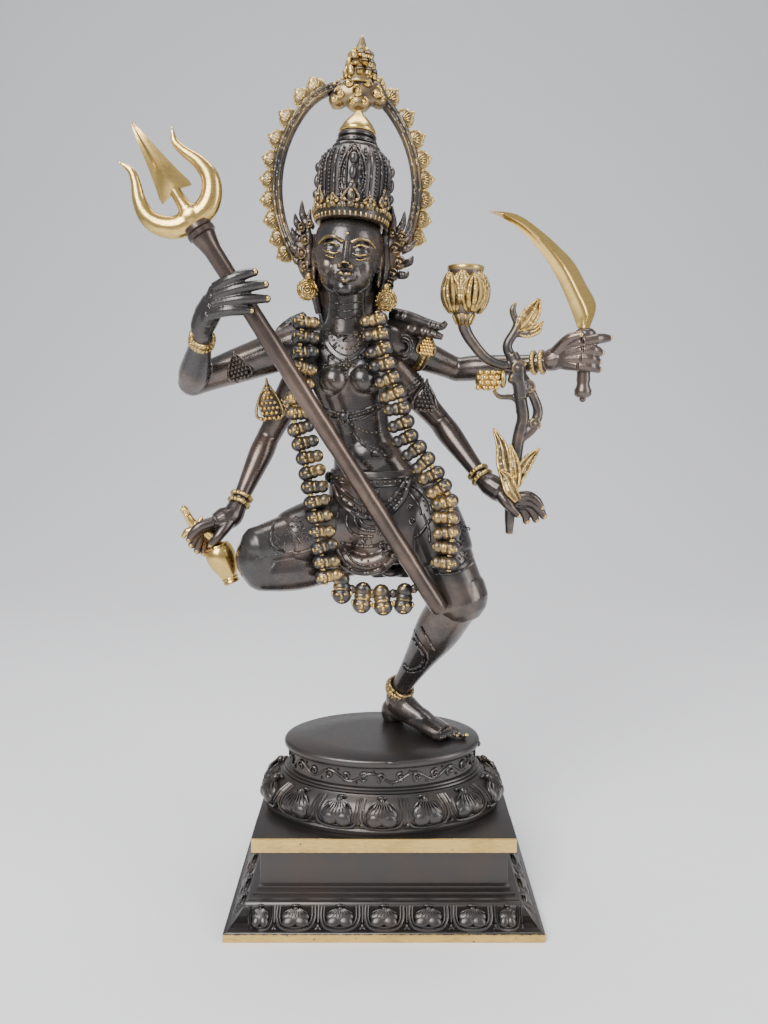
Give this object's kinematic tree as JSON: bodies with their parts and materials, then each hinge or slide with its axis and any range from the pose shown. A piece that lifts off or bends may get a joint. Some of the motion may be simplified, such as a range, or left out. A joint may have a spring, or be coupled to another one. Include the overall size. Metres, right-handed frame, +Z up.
{
  "type": "cast figure on plinth",
  "caption": "Cast brass four-armed dancing figure on one leg, with halo, staff trident, sickle blade, lotus and flask, on a lotus dais and stepped hollow plinth.",
  "frame": {"origin": "centre of the plinth's underside, on the surface it stands on", "axes": "+Z up, the figure faces -Y, +X to the viewer's right when looking at its front"},
  "size_m": [0.2154, 0.1052, 0.4172],
  "materials": {
    "dark_patina": "dark brown-black chemical patina, semi-gloss",
    "rubbed_brass": "patina rubbed back to yellow brass, satin",
    "brown_patina": "thin reddish-brown patina, semi-gloss",
    "jewel_brass": "dark patina with brass high points",
    "plinth_patina": "dark patina, cast surface with pits, front edges rubbed to brass"
  },
  "bodies": {
    "statue": {"arm_flask": "dark_patina", "arm_lotus": "dark_patina", "arm_pegs": "dark_patina", "arm_sword": "dark_patina", "arm_trident": "dark_patina", "armlet_flask": "jewel_brass", "armlet_lotus": "jewel_brass", "armlet_sword": "jewel_brass", "armlet_trident": "jewel_brass", "belt_pendant": "jewel_brass", "bracelets": "jewel_brass", "crown_dome": "dark_patina", "crown_finial": "rubbed_brass", "crown_neck_ring": "dark_patina", "dais_cushion": "plinth_patina", "dais_drum": "plinth_patina", "diadem": "jewel_brass", "ear_wings": "jewel_brass", "earrings": "jewel_brass", "flask_body": "rubbed_brass", "flask_lid": "rubbed_brass", "foot_tenon": "dark_patina", "garland_hem": "jewel_brass", "garland_left_strand": "jewel_brass", "garland_right_strand": "jewel_brass", "hair_back": "dark_patina", "halo_apex": "rubbed_brass", "halo_pegs": "dark_patina", "halo_petals": "rubbed_brass", "halo_ring": "dark_patina", "hand_flask": "dark_patina", "hand_lotus": "dark_patina", "hand_sword": "dark_patina", "hand_trident": "dark_patina", "head": "dark_patina", "hip_belt": "jewel_brass", "lotus_bud": "rubbed_brass", "lotus_leaves": "rubbed_brass", "lotus_pod": "rubbed_brass", "lotus_stem": "dark_patina", "neck_peg": "dark_patina", "pectoral": "jewel_brass", "plinth": "plinth_patina", "raised_foot": "dark_patina", "raised_leg": "dark_patina", "shoulder_ribbons": "dark_patina", "skirt": "dark_patina", "skirt_hem": "dark_patina", "standing_anklet": "jewel_brass", "standing_foot": "dark_patina", "standing_leg": "dark_patina", "sword_blade": "rubbed_brass", "sword_grip": "dark_patina", "torso": "dark_patina", "trident_staff": "brown_patina", "under_bust_belt": "jewel_brass"},
    "trident": {"trident_neck": "brown_patina", "trident_head": "rubbed_brass", "trident_pin": "dark_patina"}
  },
  "joints": [
    {"name": "trident_lift", "type": "slide", "parent": "statue", "child": "trident", "axis": [-0.5256, -0.0523, 0.8491], "range_m": [0, 0.04]}
  ]
}
